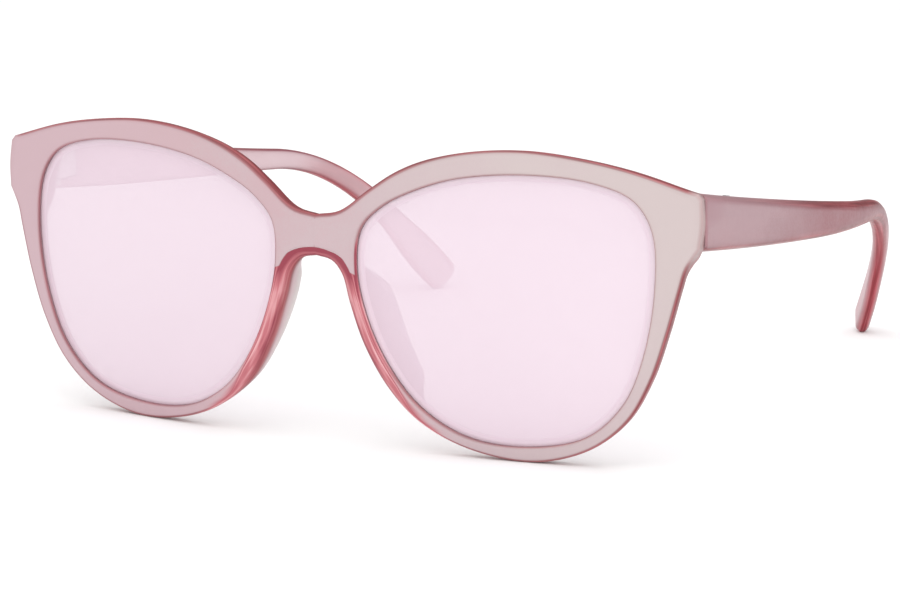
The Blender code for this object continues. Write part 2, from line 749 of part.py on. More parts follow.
def build_hinge(label, side, mat, screw_mat):
    front_neck = neck_box(side, back_face_slope(), barrel_to_front_leaf())
    build_leaf("front_hinge_" + label, side, 0, front_leaf_box(side, 0.0), front_neck, mat)
    temple_neck = neck_box(side, TEMPLE_NECK_TURN, TEMPLE_NECK_LENGTH)
    build_leaf("temple_hinge_" + label, side, 1, temple_leaf_box(side, 0.0), temple_neck, mat)
    build_screw("hinge_screw_" + label, side, screw_mat)


# ---------------------------------------------------------------- assembly

def clear_scene():
    for obj in list(bpy.data.objects):
        bpy.data.objects.remove(obj, do_unlink=True)


def build():
    clear_scene()
    frame_mat = material("frame_plastic", (0.86, 0.66, 0.68), 0.22)
    temple_mat = material("temple_plastic", (0.80, 0.56, 0.59), 0.22)
    lens_mat = material("lens_tint", (0.93, 0.84, 0.91), 0.08, alpha=0.9)
    steel = material("hinge_steel", (0.72, 0.72, 0.74), 0.3, metallic=1.0)
    screw_steel = material("screw_steel", (0.62, 0.62, 0.64), 0.35, metallic=1.0)
    build_front(frame_mat)
    for side, label in SIDES:
        build_lens("lens_" + label, side, lens_mat)
        build_temple("temple_" + label, side, temple_mat)
        build_hinge(label, side, steel, screw_steel)


build()
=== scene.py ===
"""Looks of the cat eye sunglasses: milky pink plastic, flash-tinted lenses, plated hinges.

Lengths are millimetres in the frame of the front (x across, y back towards the wearer, z up,
origin on the face of the bridge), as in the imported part. to_world() stands them on the ground.
Each section point also carries an edge tone, which the plastic's material turns into colour:
the faces are pale, and the plastic turns deep red where light runs a long way inside it.
"""

import math

import bmesh
import bpy
from mathutils import Matrix, Vector


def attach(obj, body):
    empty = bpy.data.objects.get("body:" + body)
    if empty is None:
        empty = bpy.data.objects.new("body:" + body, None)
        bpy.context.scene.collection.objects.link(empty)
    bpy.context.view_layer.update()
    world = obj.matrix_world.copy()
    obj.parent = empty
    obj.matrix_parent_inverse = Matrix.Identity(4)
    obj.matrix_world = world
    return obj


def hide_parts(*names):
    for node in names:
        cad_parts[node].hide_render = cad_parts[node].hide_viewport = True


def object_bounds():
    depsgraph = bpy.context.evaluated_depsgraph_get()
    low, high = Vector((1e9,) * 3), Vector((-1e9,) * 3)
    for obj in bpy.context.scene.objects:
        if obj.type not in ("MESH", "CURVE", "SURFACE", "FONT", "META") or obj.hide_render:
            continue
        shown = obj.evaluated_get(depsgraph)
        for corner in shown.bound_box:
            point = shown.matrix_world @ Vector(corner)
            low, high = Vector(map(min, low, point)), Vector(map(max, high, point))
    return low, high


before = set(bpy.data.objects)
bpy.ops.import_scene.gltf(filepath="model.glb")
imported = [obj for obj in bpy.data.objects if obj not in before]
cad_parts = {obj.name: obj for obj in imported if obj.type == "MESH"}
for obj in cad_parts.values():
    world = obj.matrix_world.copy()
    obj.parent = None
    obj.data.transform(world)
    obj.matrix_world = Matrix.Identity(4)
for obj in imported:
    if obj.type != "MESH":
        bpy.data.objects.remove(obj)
cad_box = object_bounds()

MM = 0.001
TINY = 1e-6
GAP = 0.3                      # clearance between separate pieces
SIDES = ((1, "left"), (-1, "right"))    # the wearer's sides; the wearer looks towards -y

# how the glasses stand
LEAN = math.radians(2.06)      # the top of the front leans back
MID_DEPTH = 71.82              # half of the overall depth, so that y = 0 is the middle
GROUND = 36.502                # height of the bridge origin above the ground

# curved face of the front
CURVE_ACROSS = 0.003545        # 1/mm, wraps round the head
CURVE_UP = 0.0059              # 1/mm

# rim
RIM_DEPTH = 3.3
END_DEPTH = 6.0                # thicker behind the end pieces, where the hinges sit
EDGE_ROUND = 0.45
BACK_ROUND = 1.5               # the outer wall tapers towards the back
TOP_ROUND = 0.7                # softer edge on the top near the bridge
NOSE_ROUND = 2.4               # wide roll along the nose
LIP = 0.4                      # small round at the lens opening
LIP_MIDDLE = 0.3               # share of the lip at the middle point of its round
MIN_FACE = 0.3                 # the flat face is never narrower than this
GROOVE_FRONT = 0.7
GROOVE_BACK = 2.4
GROOVE_DEEP = 1.2
GROOVE_TAPER = 0.35
BACK_SPANS = (0.2, 0.4, 0.6, 0.8)
FACE_SPANS = (0.03, 0.5, 0.96)
BACK_CURVE = ((0.5, 0.15), (0.16, 0.6))     # shares of the rounding: inset, depth
FRONT_CURVE = ((0.12, 0.5), (0.42, 0.14))

# zones of the front: where a feature starts to show and where it is whole
END_ACROSS = (57.0, 66.0)
END_ABOVE = (-1.0, 4.0)
END_BELOW = (15.5, 11.5)
NOSE_BESIDE = (24.0, 16.0)
NOSE_BELOW = (0.5, -2.5)
NOSE_ABOVE = (-32.0, -24.0)
TOP_BESIDE = (28.0, 16.0)
TOP_ABOVE = (5.0, 7.0)

# lens opening, closed outline of the +x side
OPENING = [
    (40.0, 16.1), (27.5, 14.6), (19.6, 12.0), (13.2, 8.6), (9.3, 4.4), (8.5, -2.8),
    (10.4, -11.6), (14.6, -20.5), (20.5, -27.7), (29.0, -32.4), (40.0, -33.4), (51.4, -30.8),
    (58.6, -24.2), (62.7, -14.4), (64.6, -1.5), (63.7, 7.7), (60.2, 12.7), (52.5, 15.4),
]
OPENING_MIDDLE = (38.0, -7.0)

# outline of the +x half, from the bridge round the end piece and back under the bridge
TOP_EDGE = [
    (0.0, 6.4), (4.8, 7.4), (10.6, 11.7), (15.6, 15.1), (21.2, 17.6), (30.0, 19.7),
    (40.0, 20.5), (50.0, 19.7), (60.0, 17.9), (71.6, 14.5),
]
SIDE_EDGE = [(72.4, 13.6), (72.7, 9.3), (72.3, 4.8)]
LOWER_EDGE = [
    (71.4, 3.4), (70.2, 1.2), (69.1, -2.8), (66.9, -11.0), (63.9, -19.6), (59.4, -27.3),
    (52.4, -33.0), (42.5, -36.1), (32.0, -35.4), (22.8, -32.1), (15.0, -26.1), (9.8, -17.9),
    (6.7, -9.6), (5.1, -4.3), (3.0, -2.0), (0.0, -1.3),
]
BRIDGE_LINE = [(0.0, 0.9), (0.0, 2.6), (0.0, 4.3), (0.0, 5.4)]
TOP_STATIONS = 76
SIDE_STATIONS = 14
LOWER_STATIONS = 150
LENS_STATIONS = 160
LENS_RINGS = (0.15, 0.3, 0.45, 0.6, 0.75, 0.95, 1.0)    # shares of the way to the opening
LENS_TINT = 0.87               # strength of the tint inside the last ring
LENS_PAINTED_LIGHT_ZONE = (0.95, 1.0)        # the tint is painted paler here: painted light against the shade that the rim casts on the lens
STATION_RELAX = 160            # smoothing passes that spread the stations round the opening

# moulded nose pads, reached by the back of the rim along the nose
PAD_BELOW = (-1.6, -7.1)
PAD_ABOVE = (-28.5, -23.0)
PAD_LIMIT = 26.0               # there is no pad further out than this
PAD_FLARE = 2.3                # the pads lean away from the nose towards the back
PAD_FLARE_POWER = 1.2
PAD_PROFILE = ((0.3, 0.0), (0.65, 0.0), (0.88, 0.12), (0.98, 0.3))   # shares: reach, inset
# height, depth of the rear edge of a pad
PAD_REAR = [(-2.0, 8.4), (-6.0, 10.0), (-11.0, 10.7), (-16.0, 10.1), (-21.0, 9.0), (-28.0, 6.6)]

# temples
SEAM_GAP = 0.02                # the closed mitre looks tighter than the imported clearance
TEMPLE_START = (70.9, 10.9, 9.3)
TEMPLE_PITCH = -0.132          # rad, slope at the hinge
TEMPLE_EASE = 0.00067          # rad per mm, the shaft levels out a little
SHAFT_LENGTH = 88.7
BEND_RADIUS = 48.0
BEND_ANGLE = 0.837
TIP_LENGTH = 13.5
BOW_FROM = 49.5                # the shaft runs straight back this far, then bows inward
BOW = 0.0025
TEMPLE_THICK = 4.0
TIP_THICK = 3.0
# distance along the temple, height, share of the height that is flat on the outside
TEMPLE_SECTIONS = [
    (0.0, 10.5, 0.74), (30.0, 8.7, 0.66), (60.0, 6.6, 0.50), (88.0, 4.4, 0.16),
    (105.0, 4.1, 0.10), (124.0, 5.2, 0.16), (136.0, 7.8, 0.34), (144.0, 7.4, 0.34),
]
TEMPLE_STEP = 1.25
MITRE_CLEAR = 2.0 * TEMPLE_THICK    # there is no section this close behind the mitre
MITRE_BEVEL = 0.1              # length of the bevel at the outer edge, share of the first step
MITRE_INSET = 0.35             # depth of that bevel
MITRE_INSET_ZONE = (0.3, 1.0)  # shares of the thickness, from the inner side
PATH_FINE = 4                  # path steps between two sections
OUTER_CURVE = ((1.0, 1.0), (0.82, 0.45))    # shares: half thickness, drop of the bevel
CROWN = ((0.38, 0.95), (-0.1, 1.0))         # shares: half thickness, half height
INNER_CROWN = 0.96
INNER_SOFT = (0.25, 0.6)       # how round the inner side is, at the hinge and at the tip
INNER_CORNER = 0.45            # height of that rounding, share of half the height
# rounded end: share of the last section, distance beyond it
TIP_CAP = ((0.95, 0.6), (0.82, 1.1), (0.65, 1.5), (0.45, 1.75), (0.2, 1.9))

# hinge pockets
HINGE_UP = 8.3
BARREL_OFFSET = 1.9
LEAF_THICK = 1.2
LEAF_PROUD = 0.1
FRONT_LEAF_WIDTH = 2.7
FRONT_LEAF_SHIFT = -0.7
TEMPLE_LEAF_LENGTH = 9.0
TEMPLE_LEAF_BEHIND = 1.6
LEAF_HEIGHT = 7.0
HINGE_EDGE = 0.07              # softened edges of leaves and screws
HINGE_EDGE_ANGLE = math.radians(40.0)
MITRE_BLOCK = (16.0, 12.0, 40.0)

# end piece, mitre and hinge axis, worked out from the sizes above
INNER_FACE = TEMPLE_START[0] - 0.5 * TEMPLE_THICK
END_BACK = 0.5 * CURVE_ACROSS * INNER_FACE ** 2 + 0.5 * CURVE_UP * HINGE_UP ** 2 + END_DEPTH
MITRE_ANGLE = math.atan2(END_BACK - TEMPLE_START[1], TEMPLE_THICK)
PIVOT = (INNER_FACE - BARREL_OFFSET, END_BACK + BARREL_OFFSET * math.tan(MITRE_ANGLE), HINGE_UP)

# roundness of the finer skin
CORNER_CUT = 0.25              # share of each section side cut off at a corner
TEMPLE_CORNER_CUT = 0.14
SHARP_ANGLE = math.radians(32.0)

# edge tones round the rim: 0 is a pale face, 1 the deepest edge, -1 a back face in clear plastic,
# painted pale for the light that comes through it
OPENING_TONES = (0.1, 0.55, 0.8, 0.55, 0.0, 0.0, 0.3)
BACK_TONES = (0.75, 0.6, 0.3, 0.0, 0.0, 0.0, 0.0, 0.5, 0.95, 1.0)
PAD_TONES = (0.7, 0.35, 0.0, -0.4, -0.2, -0.2, -0.7, -0.9, -0.8, 0.2)
FRONT_TONES = (1.0, 1.0, 0.9, 0.45, 0.0, 0.0, 0.0)
SEAM_TONE = 0.35               # the end pieces stay pale where the temples meet them
SEAM_ZONE = (69.5, 71.5)
MITRE_TONE = -1.0              # the flat end of a temple is clear, and painted pale like a back face: painted light that lightens the shade where it meets the front
MITRE_EDGE_TONE = 0.4          # its outer edge is pinker than the face beside it
TEMPLE_TONES = (0.1, 0.95, 1.0, 0.8, 0.5, -1.0)

# glow: where the rim shows the whole depth of a nose pad, and the core of bend and tip
GLOW_BROW = -0.9               # height on the bridge where the glow ends
GLOW_BROW_SLOPE = -0.36
GLOW_EDGE = 0.25
GLOW_BELOW = (3.0, 1.0)        # it is painted from the middle of the bridge down
GLOW_ROOT = 5.0                # it is darker down to this far below its end
GLOW_ROOT_SHIFT = -0.2         # shift of its colour value there
GLOW_ROLL = (0.3, 0.45)        # edge tones above which the glow climbs the roll under the bridge
GLOW_TAPER = (10.0, 30.0)      # the band narrows towards the outline below the lens
GLOW_TAPER_END = 1.2           # and is past the outline here, as a share of the rim's width
GLOW_SOFT = 0.3                # softness of the band, as a share of the rim's width
GLOW_DEPTH = (1.0, 0.3)        # it fades behind the front edge
TOP_TONE = 0.3                 # the upper edge starts paler and deepens along the shaft
TOP_ZONE = (5.0, 75.0)
CORE_GLOW = (0.0, 0.3, 1.0, 1.0, 1.0, 0.35)
CORE_ZONE = (94.0, 108.0)      # from the bend on, the temple shows a red core in pale edges
CORE_PALE = 0.85
BEND_GLOW = (0.4, 1.0, 1.0)    # the red core also shows low on the inner side of the bend
BEND_ZONES = ((92.0, 104.0), (122.0, 112.0))

# photographic set-up
CAMERA_PLACE = (0.37541, -0.72291, 0.17908)
CAMERA_AIM = (0.00024, -0.02, 0.01777)
CAMERA_ROLL = math.radians(0.18)
CAMERA_LENS = 168.6
FLOOR_DROP = 0.00001
FLOOR_SIZE = 3.0
# name, place, aim, size, power
SOFTBOXES = (
    ("overhead_softbox", (0.1, -0.2, 0.9), (0.0, 0.0, 0.0), (1.2, 1.0), 3.7),
    ("camera_right_softbox", (0.9, -0.7, 0.5), (0.0, 0.0, 0.03), (0.8, 0.8), 1.6),
)
WHITENESS = 1.0                # of the backdrop
DARKNESS = 0.8                 # how much of that is missing where the backdrop reflects darker
DARK_BEHIND = (0.0, 0.6)
DARK_BELOW = (0.35, 0.75)


def ramp(value, zone):
    """Smooth rise from 0 to 1 as value goes from the zone's first end to its second."""
    share = (value - zone[0]) / (zone[1] - zone[0])
    share = min(max(share, 0.0), 1.0)
    return share * share * (3.0 - 2.0 * share)


def to_world(x, y, z):
    cos_lean = math.cos(LEAN)
    sin_lean = math.sin(LEAN)
    back = y * cos_lean + z * sin_lean - MID_DEPTH
    up = z * cos_lean - y * sin_lean + GROUND
    return Vector((x, back, up)) * MM


def table_value(table, key):
    """Smooth look-up in a table of (key, value) rows sorted by key."""
    rows = sorted(table)
    if key <= rows[0][0]:
        return rows[0][1]
    for i, (low, high) in enumerate(zip(rows, rows[1:])):
        if key <= high[0]:
            before = rows[max(i - 1, 0)]
            after = rows[min(i + 2, len(rows) - 1)]
            span = high[0] - low[0]
            share = (key - low[0]) / span
            slope_low = (high[1] - before[1]) / (high[0] - before[0]) * span
            slope_high = (after[1] - low[1]) / (after[0] - low[0]) * span
            rise = share * share * (3.0 - 2.0 * share)
            early = share * (1.0 - share) ** 2
            late = share * share * (share - 1.0)
            return low[1] + (high[1] - low[1]) * rise + slope_low * early + slope_high * late
    return rows[-1][1]


# ---------------------------------------------------------------- plane curves

def spline(points, closed, per_span=24):
    """Centripetal Catmull-Rom curve through points, as a dense list."""
    pts = [Vector(p) for p in points]
    count = len(pts)
    spans = count if closed else count - 1
    curve = []
    for i in range(spans):
        if closed:
            p0, p1, p2, p3 = (pts[(i + k) % count] for k in (-1, 0, 1, 2))
        else:
            p1, p2 = pts[i], pts[i + 1]
            p0 = pts[i - 1] if i > 0 else p1 + (p1 - p2)
            p3 = pts[i + 2] if i + 2 < count else p2 + (p2 - p1)
        t1 = (p1 - p0).length ** 0.5
        t2 = t1 + (p2 - p1).length ** 0.5
        t3 = t2 + (p3 - p2).length ** 0.5
        for step in range(per_span):
            t = t1 + (t2 - t1) * step / per_span
            a1 = p0.lerp(p1, t / t1)
            a2 = p1.lerp(p2, (t - t1) / (t2 - t1))
            a3 = p2.lerp(p3, (t - t2) / (t3 - t2))
            b1 = a1.lerp(a2, t / t2)
            b2 = a2.lerp(a3, (t - t1) / (t3 - t1))
            curve.append(b1.lerp(b2, (t - t1) / (t2 - t1)))
    curve.append(curve[0].copy() if closed else pts[-1].copy())
    return curve


def evenly(curve, count, closed):
    """count points at equal arc length; an open curve keeps both ends."""
    lengths = [0.0]
    for p, q in zip(curve, curve[1:]):
        lengths.append(lengths[-1] + (q - p).length)
    steps = count if closed else count - 1
    result = []
    k = 0
    for i in range(count):
        goal = lengths[-1] * i / steps
        while k < len(lengths) - 2 and lengths[k + 1] < goal:
            k += 1
        span = max(lengths[k + 1] - lengths[k], TINY)
        result.append(curve[k].lerp(curve[k + 1], (goal - lengths[k]) / span))
    return result


def opening_point(angle, dense):
    """Where a ray from the middle of the opening meets its outline."""
    middle = Vector(OPENING_MIDDLE)
    ray = Vector((math.cos(angle), math.sin(angle)))
    side = Vector((-ray.y, ray.x))
    for p, q in zip(dense, dense[1:]):
        a = (p - middle).dot(side)
        b = (q - middle).dot(side)
        if a * b <= 0.0 and a != b:
            hit = p.lerp(q, a / (a - b))
            if (hit - middle).dot(ray) > 0.0:
                return hit
    raise ValueError("the opening has no point at this angle")


def outward(prev_point, next_point, middle, point):
    """Unit normal of a curve, turned away from middle."""
    along = next_point - prev_point
    normal = Vector((along.y, -along.x)).normalized()
    if normal.dot(point - middle) < 0.0:
        normal.negate()
    return normal


def soften(section, cut):
    """Cuts each corner of a closed section of vectors to round it."""
    result = []
    for i, point in enumerate(section):
        result.append(point.lerp(section[i - 1], cut))
        result.append(point.lerp(section[(i + 1) % len(section)], cut))
    return result


# ---------------------------------------------------------------- meshes and objects

def face_depth(u, v):
    """How far the face of the front has curved back at (u, v)."""
    return 0.5 * CURVE_ACROSS * u * u + 0.5 * CURVE_UP * v * v


def on_front(point, depth):
    """A point of the front from its outline position and its depth behind the face."""
    return to_world(point.x, face_depth(point.x, point.y) + depth, point.y)


class Painter:
    """Adds faces that carry edge tones and a way along and round the section."""

    def __init__(self, bm):
        self.bm = bm
        self.tone = bm.loops.layers.uv.new("tone")
        self.way = bm.loops.layers.uv.new("way")

    def face(self, verts, tones, ways):
        face = self.bm.faces.new(verts)
        for loop, tone, way in zip(face.loops, tones, ways):
            loop[self.tone].uv = tone
            loop[self.way].uv = way


def keep_in_box(bm):
    """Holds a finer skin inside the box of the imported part."""
    low, high = cad_box
    for vert in bm.verts:
        for axis in range(3):
            vert.co[axis] = min(max(vert.co[axis], low[axis]), high[axis])


def new_object(name, bm):
    bmesh.ops.recalc_face_normals(bm, faces=bm.faces)
    mesh = bpy.data.meshes.new(name)
    bm.to_mesh(mesh)
    bm.free()
    obj = bpy.data.objects.new(name, mesh)
    bpy.context.scene.collection.objects.link(obj)
    return obj


def smooth(obj):
    obj.data.shade_smooth()
    obj.data.set_sharp_from_angle(angle=SHARP_ANGLE)


def cut_away(obj, tools):
    """Subtracts the tools from obj for good."""
    for tool in tools:
        mod = obj.modifiers.new("cut", "BOOLEAN")
        mod.operation = "DIFFERENCE"
        mod.object = tool
        mod.solver = "EXACT"
    bpy.context.view_layer.update()
    graph = bpy.context.evaluated_depsgraph_get()
    mesh = bpy.data.meshes.new_from_object(obj.evaluated_get(graph))
    obj.modifiers.clear()
    obj.data = mesh
    for tool in tools:
        bpy.data.objects.remove(tool, do_unlink=True)


def box_object(name, size, place, turn=0.0):
    """Box of size (mm) centred on a world place (metres), turned about the vertical."""
    bm = bmesh.new()
    bmesh.ops.create_cube(bm, size=1.0)
    scale = Matrix.Diagonal((size[0] * MM, size[1] * MM, size[2] * MM, 1.0))
    matrix = Matrix.Translation(place) @ Matrix.Rotation(turn, 4, "Z") @ scale
    bmesh.ops.transform(bm, matrix=matrix, verts=bm.verts)
    return new_object(name, bm)


def finish_piece(obj, mat, node, body):
    """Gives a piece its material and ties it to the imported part."""
    smooth(obj)
    obj.data.materials.clear()
    obj.data.materials.append(mat)
    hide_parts(node)
    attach(obj, body)


# ---------------------------------------------------------------- front

def half_outline():
    """Stations round the +x half; True marks those on the joining line of the two halves."""
    top = evenly(spline(TOP_EDGE, False), TOP_STATIONS, False)
    side = evenly(spline(SIDE_EDGE, False), SIDE_STATIONS, False)
    lower = evenly(spline(LOWER_EDGE, False), LOWER_STATIONS, False)
    points = top + side + lower
    joined = [False] * len(points)
    for place in BRIDGE_LINE:
        points.append(Vector(place))
        joined.append(True)
    return points, joined


def outline_normals(points, joined):
    """Inward unit normals of the outline, as the whole mirrored front has them."""
    last = joined.index(True) - 1
    normals = []
    for i, is_joined in enumerate(joined):
        if is_joined:
            normals.append(Vector((0.0, 0.0)))
            continue
        before = points[i - 1] if i > 0 else Vector((-points[1].x, points[1].y))
        after = points[i + 1] if i < last else Vector((-points[i - 1].x, points[i - 1].y))
        along = after - before
        normals.append(Vector((along.y, -along.x)).normalized())
    return normals


def matching_opening(points):
    """For each outline station a point and an outward normal on the lens opening."""
    middle = Vector(OPENING_MIDDLE)
    angles = []
    for point in points:
        angle = math.atan2(point.y - middle.y, point.x - middle.x)
        while angles and angle > angles[-1] + math.pi:
            angle -= 2.0 * math.pi
        while angles and angle < angles[-1] - math.pi:
            angle += 2.0 * math.pi
        angles.append(angle)
    count = len(angles)
    for _ in range(STATION_RELAX):
        before = [angles[i - 1] if i else angles[-1] + 2.0 * math.pi for i in range(count)]
        after = [angles[i + 1] if i < count - 1 else angles[0] - 2.0 * math.pi
                 for i in range(count)]
        angles = [0.25 * a + 0.5 * b + 0.25 * c for a, b, c in zip(before, angles, after)]
    dense = spline(OPENING, True)
    places = [opening_point(angle, dense) for angle in angles]
    normals = []
    for i, place in enumerate(places):
        normals.append(outward(places[i - 1], places[(i + 1) % count], middle, place))
    return places, normals


def rim_depth(point):
    """Thickness of the front: thicker behind the end pieces."""
    share = ramp(abs(point.x), END_ACROSS) * ramp(point.y, END_ABOVE) * ramp(point.y, END_BELOW)
    return RIM_DEPTH + (END_DEPTH - RIM_DEPTH) * share


def nose_share(point):
    """1 along the nose, 0 elsewhere."""
    return ramp(point.x, NOSE_BESIDE) * ramp(point.y, NOSE_BELOW) * ramp(point.y, NOSE_ABOVE)


def front_round(point):
    """Inset of the rounded front edge at an outline point."""
    top_share = ramp(point.x, TOP_BESIDE) * ramp(point.y, TOP_ABOVE)
    size = EDGE_ROUND + (TOP_ROUND - EDGE_ROUND) * top_share
    return size + (NOSE_ROUND - EDGE_ROUND) * nose_share(point)


def pad_share(point):
    """How much of a nose pad stands out behind a point of the opening."""
    if point.x > PAD_LIMIT:
        return 0.0
    return ramp(point.y, PAD_BELOW) * ramp(point.y, PAD_ABOVE)


def opening_wall(inner, normal):
    """Section points from the face into the lens groove and out of it again."""
    groove = inner + normal * GROOVE_DEEP
    return [
        (inner + normal * LIP, 0.0), (inner + normal * (LIP_MIDDLE * LIP), LIP_MIDDLE * LIP),
        (inner, LIP), (inner, GROOVE_FRONT), (groove, GROOVE_FRONT + GROOVE_TAPER),
        (groove, GROOVE_BACK - GROOVE_TAPER), (inner, GROOVE_BACK),
    ]


def plain_back(inner, inner_normal, outer, outer_normal, size):
    """Section points over the back of the rim, rounded by size at the outline."""
    lip = inner + inner_normal * LIP
    depth = rim_depth(inner)
    points = [
        (inner, depth - LIP), (inner + inner_normal * (LIP_MIDDLE * LIP), depth - LIP_MIDDLE * LIP),
        (lip, depth),
    ]
    edge = outer + outer_normal * size
    for span in BACK_SPANS:
        place = lip.lerp(edge, span)
        points.append((place, rim_depth(place)))
    depth = rim_depth(outer)
    points.append((edge, depth))
    for inset, drop in BACK_CURVE:
        points.append((outer + outer_normal * (inset * size), depth - drop * BACK_ROUND))
    return points


def pad_back(inner, outer):
    """Section points over a whole nose pad, as many as plain_back has."""
    across = outer - inner
    aside = across.normalized()
    reach = table_value(PAD_REAR, inner.y) - RIM_DEPTH
    near = []
    far = []
    for along, inset in PAD_PROFILE:
        lean = aside * (PAD_FLARE * along ** PAD_FLARE_POWER)
        depth = RIM_DEPTH + along * reach
        near.append((inner + across * inset - lean, depth))
        far.append((outer - across * inset - lean, depth))
    root = RIM_DEPTH - BACK_CURVE[-1][1] * BACK_ROUND
    return [(inner, RIM_DEPTH - LIP)] + near + far[::-1] + [(outer, root)]


def front_side(inner, inner_normal, outer, outer_normal, size):
    """Section points from the outer wall over the front edge and across the face."""
    lip = inner + inner_normal * LIP
    deep = 0.5 * (EDGE_ROUND + max(size, EDGE_ROUND))
    points = [(outer, deep)]
    for inset, drop in FRONT_CURVE:
        points.append((outer + outer_normal * (inset * size), drop * deep))
    edge = outer + outer_normal * size
    points.append((edge, 0.0))
    for span in FACE_SPANS:
        points.append((edge.lerp(lip, span), 0.0))
    return points


def glow_share(point, depth, across):
    """How much of the depth behind it a front point shows; across is 0 at the opening."""
    start = GLOW_TAPER_END * ramp(point.x, GLOW_TAPER) - GLOW_SOFT
    lower = ramp(point.y, GLOW_BELOW)
    return lower * ramp(across, (start, start + GLOW_SOFT)) * ramp(depth, GLOW_DEPTH)


def rim_section(inner, inner_normal, outer, outer_normal, joined):
    """Closed section of the rim at one station, as vectors of x, y, depth, tone and glow."""
    width = (outer - inner).length
    front_size = 0.0 if joined else min(front_round(outer), width - LIP - MIN_FACE)
    back_size = 0.0 if joined else BACK_ROUND
    back = plain_back(inner, inner_normal, outer, outer_normal, back_size)
    back_tones = BACK_TONES
    share = pad_share(inner)
    if share > 0.0:
        back = [(a.lerp(b, share), da + (db - da) * share)
                for (a, da), (b, db) in zip(back, pad_back(inner, outer))]
        back_tones = [a + (b - a) * share for a, b in zip(BACK_TONES, PAD_TONES)]
    front = front_side(inner, inner_normal, outer, outer_normal, front_size)
    seam = 1.0 - (1.0 - SEAM_TONE) * ramp(outer.x, SEAM_ZONE)
    tones = list(OPENING_TONES) + list(back_tones) + [seam * tone for tone in FRONT_TONES]
    if joined:
        tones = list(OPENING_TONES) + [0.0] * (len(back) + len(front))
    section = []
    for (place, depth), tone in zip(opening_wall(inner, inner_normal) + back + front, tones):
        across = (place - inner).length / width
        glow = glow_share(place, depth, across)
        section.append(Vector((place.x, place.y, depth, tone, glow)))
    return soften(section, CORNER_CUT)


def front_mesh():
    """Both halves of the front as one skin, joined on the line x = 0."""
    outline, joined = half_outline()
    inward = outline_normals(outline, joined)
    inner, inner_normals = matching_opening(outline)
    bm = bmesh.new()
    paint = Painter(bm)
    rings = []
    shades = []
    runs = [0.0]
    for i, outer in enumerate(outline):
        ring = []
        shade = []
        section = rim_section(inner[i], inner_normals[i], outer, inward[i], joined[i])
        for x, y, depth, tone, glow in section:
            left = bm.verts.new(on_front(Vector((x, y)), depth))
            right = left
            if x > TINY:
                right = bm.verts.new(on_front(Vector((-x, y)), depth))
            ring.append((left, right))
            shade.append((tone, glow))
        rings.append(ring)
        shades.append(shade)
        runs.append(runs[-1] + (outline[(i + 1) % len(outline)] - outer).length)
    for i, ring in enumerate(rings):
        j = (i + 1) % len(rings)
        count = len(ring)
        for k in range(count):
            m = (k + 1) % count
            corners = (ring[k], ring[m], rings[j][m], rings[j][k])
            if all(left is right for left, right in corners):
                continue
            tones = (shades[i][k], shades[i][m], shades[j][m], shades[j][k])
            ways = ((runs[i], k / count), (runs[i], (k + 1) / count),
                    (runs[i + 1], (k + 1) / count), (runs[i + 1], k / count))
            paint.face([left for left, _ in corners], tones, ways)
            paint.face([right for _, right in reversed(corners)], tones[::-1], ways[::-1])
    loose = [vert for vert in bm.verts if not vert.link_faces]
    bmesh.ops.delete(bm, geom=loose, context="VERTS")
    keep_in_box(bm)
    return bm


def mirrored(x, side):
    return x if side > 0 else -x


def pivot_place(side):
    return to_world(mirrored(PIVOT[0], side), PIVOT[1], PIVOT[2])


def mitre_tool(side):
    """Block whose flat front is the end piece's mitre, half a seam ahead of the hinge axis."""
    turn = mirrored(-MITRE_ANGLE, side)
    normal = Vector((mirrored(math.sin(MITRE_ANGLE), side), math.cos(MITRE_ANGLE), 0.0))
    along = Vector((mirrored(math.cos(MITRE_ANGLE), side), -math.sin(MITRE_ANGLE), 0.0))
    centre = pivot_place(side) + normal * (0.5 * (MITRE_BLOCK[1] - SEAM_GAP) * MM)
    centre = centre + along * (0.5 * MITRE_BLOCK[0] * MM)
    return box_object("mitre_tool", MITRE_BLOCK, centre, turn)


def front_pocket_tool(side):
    """The seat of the front hinge leaf, a gap larger than the leaf."""
    turn = math.atan(CURVE_ACROSS * PIVOT[0])
    back = END_BACK - CURVE_ACROSS * PIVOT[0] * BARREL_OFFSET
    reach = (PIVOT[1] - back) * math.cos(turn) + 0.5 * LEAF_THICK - LEAF_PROUD
    across = reach * math.sin(turn) + FRONT_LEAF_SHIFT * math.cos(turn)
    ahead = reach * math.cos(turn) - FRONT_LEAF_SHIFT * math.sin(turn)
    shift = Vector((mirrored(across, side), -ahead, 0.0))
    size = (FRONT_LEAF_WIDTH + 2 * GAP, LEAF_THICK + 2 * GAP, LEAF_HEIGHT + 2 * GAP)
    place = pivot_place(side) + shift * MM
    return box_object("front_pocket_tool", size, place, mirrored(turn, side))


def temple_pocket_tool(side):
    """The seat of the temple hinge leaf, a gap larger than the leaf."""
    shift = Vector((mirrored(BARREL_OFFSET + 0.5 * LEAF_THICK, side),
                    TEMPLE_LEAF_BEHIND + 0.5 * TEMPLE_LEAF_LENGTH, 0.0))
    size = (LEAF_THICK + 2 * GAP, TEMPLE_LEAF_LENGTH + 2 * GAP, LEAF_HEIGHT + 2 * GAP)
    return box_object("temple_pocket_tool", size, pivot_place(side) + shift * MM)


def build_front(mat):
    front = new_object("front_moulding", front_mesh())
    tools = []
    for side, _ in SIDES:
        tools += [mitre_tool(side), front_pocket_tool(side)]
    cut_away(front, tools)
    finish_piece(front, mat, "frame_front", "front")


# ---------------------------------------------------------------- lenses

